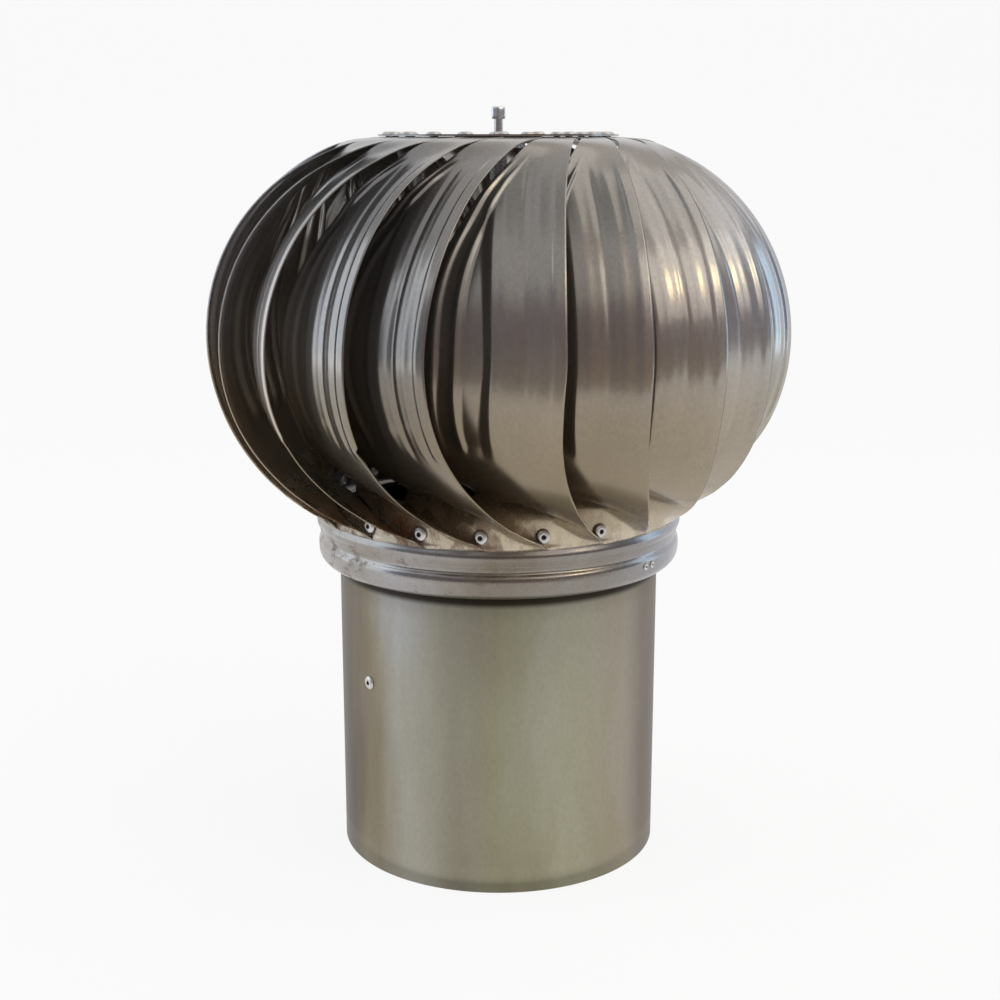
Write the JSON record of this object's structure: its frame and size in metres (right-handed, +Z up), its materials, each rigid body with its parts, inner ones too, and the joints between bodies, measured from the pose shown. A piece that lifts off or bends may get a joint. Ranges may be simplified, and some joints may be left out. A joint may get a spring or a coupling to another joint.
{
  "type": "roof turbine ventilator",
  "caption": "Wind-driven roof turbine ventilator: a globe of overlapping curved sheet vanes turning on a shaft above a plain round duct collar.",
  "frame": {"origin": "centre of the collar's open lower end", "axes": "+Z up along the shaft and the duct; the front of the reference view is -Y"},
  "size_m": [0.2632, 0.2619, 0.345],
  "materials": {
    "galvanised_sheet": "gloss",
    "rivet_aluminium": "satin",
    "turned_aluminium": "satin",
    "ground_steel": "gloss",
    "zinc_plated": "gloss"
  },
  "bodies": {
    "base": {"collar_tube": "galvanised_sheet", "lower_strap": "galvanised_sheet", "upper_strap": "galvanised_sheet", "lower_strap_rivets": "rivet_aluminium", "upper_strap_rivets": "rivet_aluminium", "bearing_housing": "turned_aluminium", "housing_screws": "zinc_plated", "housing_screw_nuts": "zinc_plated", "lower_bearing_outer_race": "ground_steel", "upper_bearing_outer_race": "ground_steel"},
    "rotor": {"shaft": "ground_steel", "lower_bearing_inner_race": "ground_steel", "upper_bearing_inner_race": "ground_steel", "lower_shim_washer": "zinc_plated", "upper_shim_washer": "zinc_plated", "lower_lock_nut": "zinc_plated", "stop_collar": "ground_steel", "grub_screw": "zinc_plated", "hub_washer": "zinc_plated", "top_plate": "galvanised_sheet", "top_washer": "zinc_plated", "top_nut": "zinc_plated", "cap_nut": "zinc_plated", "lower_ring": "galvanised_sheet", "ring_seam_rivets": "rivet_aluminium", "vane_tail_rivets": "rivet_aluminium", "vane_tab_rivets": "rivet_aluminium", "vane_01": "galvanised_sheet", "vane_02": "galvanised_sheet", "vane_03": "galvanised_sheet", "vane_04": "galvanised_sheet", "vane_05": "galvanised_sheet", "vane_06": "galvanised_sheet", "vane_07": "galvanised_sheet", "vane_08": "galvanised_sheet", "vane_09": "galvanised_sheet", "vane_10": "galvanised_sheet", "vane_11": "galvanised_sheet", "vane_12": "galvanised_sheet", "vane_13": "galvanised_sheet", "vane_14": "galvanised_sheet", "vane_15": "galvanised_sheet", "vane_16": "galvanised_sheet", "vane_17": "galvanised_sheet", "vane_18": "galvanised_sheet", "vane_19": "galvanised_sheet", "vane_20": "galvanised_sheet"}
  },
  "joints": [
    {"name": "rotor_spin", "type": "hinge", "parent": "base", "child": "rotor", "pos_m": [0, 0, 0.12], "axis": [0, 0, 1], "continuous": true}
  ]
}
